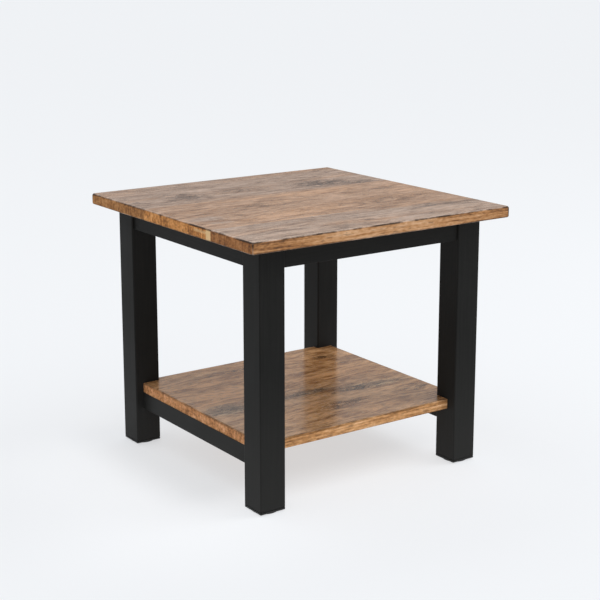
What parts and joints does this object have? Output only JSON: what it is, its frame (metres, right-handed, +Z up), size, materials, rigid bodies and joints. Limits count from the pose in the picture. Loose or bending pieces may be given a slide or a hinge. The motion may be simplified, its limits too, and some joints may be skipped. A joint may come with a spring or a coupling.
{
  "type": "end table with shelf",
  "caption": "Square end table with a brown wooden plank top, black square legs, aprons, low side rails, a notched wooden shelf and screw-in levelling feet.",
  "frame": {"origin": "on the floor, under the middle of the top", "axes": "+Z up, +X along the grain of the boards, -Y the front, which the picture shows at the right"},
  "size_m": [0.59, 0.59, 0.515],
  "materials": {
    "plank_wood": "brown reclaimed-look planks, satin lacquer",
    "black_wood": "black paint on wood, satin",
    "dowel_wood": "plain beech",
    "zinc_plate": "zinc-plated pressed steel",
    "zinc_fastener": "bright zinc plate",
    "foot_plastic": "moulded black, fine grain"
  },
  "bodies": {
    "table": {"top_board_front": "plank_wood", "top_board_middle": "plank_wood", "top_board_back": "plank_wood", "shelf_board_front": "plank_wood", "shelf_board_back": "plank_wood", "leg_front_left": "black_wood", "leg_front_right": "black_wood", "leg_back_right": "black_wood", "leg_back_left": "black_wood", "apron_front": "black_wood", "apron_back": "black_wood", "apron_left": "black_wood", "apron_right": "black_wood", "shelf_rail_left": "black_wood", "shelf_rail_right": "black_wood", "apron_dowels": "dowel_wood", "rail_dowels": "dowel_wood", "corner_bracket_front_left": "zinc_plate", "corner_bracket_front_right": "zinc_plate", "corner_bracket_back_right": "zinc_plate", "corner_bracket_back_left": "zinc_plate", "hanger_bolts": "zinc_fastener", "bracket_washers": "zinc_fastener", "bracket_nuts": "zinc_fastener", "bracket_screws": "zinc_fastener", "top_screws": "zinc_fastener", "shelf_screws": "zinc_fastener", "top_clips": "zinc_plate", "leg_inserts": "zinc_fastener"},
    "pad_front_left": {"foot_pad_front_left": "foot_plastic"},
    "stem_front_left": {"foot_stem_front_left": "zinc_fastener"},
    "pad_front_right": {"foot_pad_front_right": "foot_plastic"},
    "stem_front_right": {"foot_stem_front_right": "zinc_fastener"},
    "pad_back_right": {"foot_pad_back_right": "foot_plastic"},
    "stem_back_right": {"foot_stem_back_right": "zinc_fastener"},
    "pad_back_left": {"foot_pad_back_left": "foot_plastic"},
    "stem_back_left": {"foot_stem_back_left": "zinc_fastener"}
  },
  "joints": [
    {"name": "foot_slide_front_left", "type": "slide", "parent": "table", "child": "pad_front_left", "axis": [0, 0, -1], "range_m": [0, 0.01]},
    {"name": "foot_turn_front_left", "type": "hinge", "parent": "pad_front_left", "child": "stem_front_left", "pos_m": [-0.228, -0.228, 0], "axis": [0, 0, -1], "range_deg": [0, 2900]},
    {"name": "foot_slide_front_right", "type": "slide", "parent": "table", "child": "pad_front_right", "axis": [0, 0, -1], "range_m": [0, 0.01]},
    {"name": "foot_turn_front_right", "type": "hinge", "parent": "pad_front_right", "child": "stem_front_right", "pos_m": [0.228, -0.228, 0], "axis": [0, 0, -1], "range_deg": [0, 2900]},
    {"name": "foot_slide_back_right", "type": "slide", "parent": "table", "child": "pad_back_right", "axis": [0, 0, -1], "range_m": [0, 0.01]},
    {"name": "foot_turn_back_right", "type": "hinge", "parent": "pad_back_right", "child": "stem_back_right", "pos_m": [0.228, 0.228, 0], "axis": [0, 0, -1], "range_deg": [0, 2900]},
    {"name": "foot_slide_back_left", "type": "slide", "parent": "table", "child": "pad_back_left", "axis": [0, 0, -1], "range_m": [0, 0.01]},
    {"name": "foot_turn_back_left", "type": "hinge", "parent": "pad_back_left", "child": "stem_back_left", "pos_m": [-0.228, 0.228, 0], "axis": [0, 0, -1], "range_deg": [0, 2900]}
  ],
  "couplings": [
    {"joint": "foot_turn_front_left", "follows": "foot_slide_front_left", "rad_per_m": 5026.5},
    {"joint": "foot_turn_front_right", "follows": "foot_slide_front_right", "rad_per_m": 5026.5},
    {"joint": "foot_turn_back_right", "follows": "foot_slide_back_right", "rad_per_m": 5026.5},
    {"joint": "foot_turn_back_left", "follows": "foot_slide_back_left", "rad_per_m": 5026.5}
  ]
}
